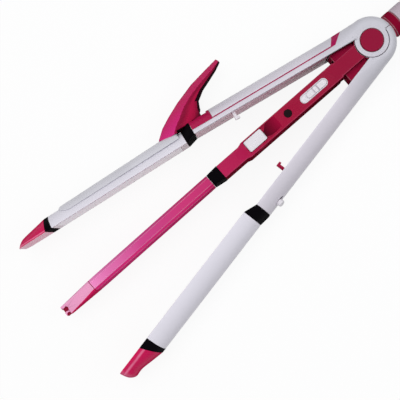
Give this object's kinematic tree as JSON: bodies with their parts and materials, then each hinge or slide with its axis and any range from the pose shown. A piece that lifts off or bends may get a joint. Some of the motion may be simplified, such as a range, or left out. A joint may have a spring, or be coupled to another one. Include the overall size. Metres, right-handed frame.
{
  "type": "hair straightener",
  "caption": "Three-arm hair straightener with a curling clamp, white half-round outer arms and a magenta middle arm, opened and lying flat.",
  "frame": {"origin": "on the hinge axis, at the outer face of the lower hinge cap", "axes": "+X along the middle arm from the hinge to its tip, +Z along the hinge axis towards the controls, +Y towards the arm with the latch knob"},
  "size_m": [0.2896, 0.1152, 0.0302],
  "materials": {
    "shell_white": "glossy",
    "middle_magenta": "glossy",
    "middle_dark_red": "glossy",
    "control_white": "glossy",
    "tail_grey": "satin",
    "cover_mauve": "satin",
    "accent_plum": "glossy",
    "black_plastic": "satin",
    "tip_pink": "glossy",
    "bar_pink": "satin",
    "heating_plate": "satin",
    "arm_plate_pale": "satin",
    "tongue_metal": "satin",
    "steel": "brushed",
    "heater_ceramic": "matte",
    "board_green": "satin",
    "lead_red": "matte",
    "lens_clear": "clear"
  },
  "bodies": {
    "root": {"middle_shell_top": "middle_magenta", "middle_shell_bottom": "middle_dark_red", "hub_block": "middle_dark_red", "hinge_pin": "steel", "hinge_cap_top": "middle_magenta", "hinge_cap_bottom": "middle_magenta", "hinge_washers": "steel", "arm_springs": "steel", "tail_ring": "middle_dark_red", "tail_sleeve": "tail_grey", "circuit_board": "board_green", "switch_body": "black_plastic", "indicator_led": "lens_clear", "indicator_lens": "lens_clear", "middle_leads": "lead_red", "thermal_fuse": "steel", "middle_screws": "steel", "middle_collar": "black_plastic", "bar_frame": "bar_pink", "bar_plate_clamp_side": "heating_plate", "bar_plate_hook_side": "heating_plate", "bar_heater": "heater_ceramic", "middle_tip": "tip_pink", "slider_bezel": "control_white"},
    "clamp_arm": {"clamp_arm_shell": "shell_white", "clamp_arm_cover": "cover_mauve", "clamp_arm_accent": "accent_plum", "clamp_arm_bracket": "middle_magenta", "clamp_arm_collar": "black_plastic", "clamp_arm_barrel": "shell_white", "clamp_arm_plate": "arm_plate_pale", "clamp_arm_heater": "heater_ceramic", "clamp_arm_heater_spring": "steel", "clamp_arm_leads": "lead_red", "clamp_arm_tip_ring": "black_plastic", "clamp_arm_tip": "tip_pink", "clamp_arm_peg": "control_white", "clamp_arm_screws": "steel", "clamp_pin": "steel"},
    "clamp": {"clamp_lever": "middle_magenta", "clamp_tongue": "tongue_metal", "clamp_rivets": "steel", "clamp_spring": "steel"},
    "hook_arm": {"hook_arm_shell": "shell_white", "hook_arm_cover": "cover_mauve", "hook_arm_collar": "black_plastic", "hook_arm_barrel": "shell_white", "hook_arm_plate": "arm_plate_pale", "hook_arm_heater": "heater_ceramic", "hook_arm_heater_spring": "steel", "hook_arm_leads": "lead_red", "hook_arm_tip_ring": "black_plastic", "hook_arm_tip": "tip_pink", "hook_arm_screws": "steel"},
    "hook_latch": {"latch_hook": "middle_magenta", "latch_knob": "control_white"},
    "power_slider_body": {"power_slider": "control_white"},
    "mode_button_body": {"mode_button": "control_white"},
    "cord_swivel": {"swivel_gland": "middle_dark_red"}
  },
  "joints": [
    {"name": "clamp_arm_hinge", "type": "hinge", "parent": "root", "child": "clamp_arm", "pos_m": [0, 0, 0.0151], "axis": [0, 0, 1], "range_deg": [0, 9.8], "stiffness_Nm_per_rad": 0.15, "springref_deg": -8.59},
    {"name": "hook_arm_hinge", "type": "hinge", "parent": "root", "child": "hook_arm", "pos_m": [0, 0, 0.0151], "axis": [0, 0, 1], "range_deg": [-10.5, 0], "stiffness_Nm_per_rad": 0.15, "springref_deg": 8.59},
    {"name": "clamp_hinge", "type": "hinge", "parent": "clamp_arm", "child": "clamp", "pos_m": [0.11041, -0.03226, 0.0151], "axis": [0, 0, 1], "range_deg": [-22, 0], "stiffness_Nm_per_rad": 0.1, "springref_deg": 5.73},
    {"name": "latch_slide", "type": "slide", "parent": "hook_arm", "child": "hook_latch", "axis": [0.9806, 0.1959, 0], "range_m": [-0.0024, 0]},
    {"name": "power_slide", "type": "slide", "parent": "root", "child": "power_slider_body", "axis": [1, 0, 0], "range_m": [0, 0.004]},
    {"name": "mode_slide", "type": "slide", "parent": "root", "child": "mode_button_body", "axis": [1, 0, 0], "range_m": [-0.004, 0]},
    {"name": "cord_turn", "type": "hinge", "parent": "root", "child": "cord_swivel", "pos_m": [-0.0357, 0, 0.0151], "axis": [1, 0, 0], "continuous": true}
  ]
}
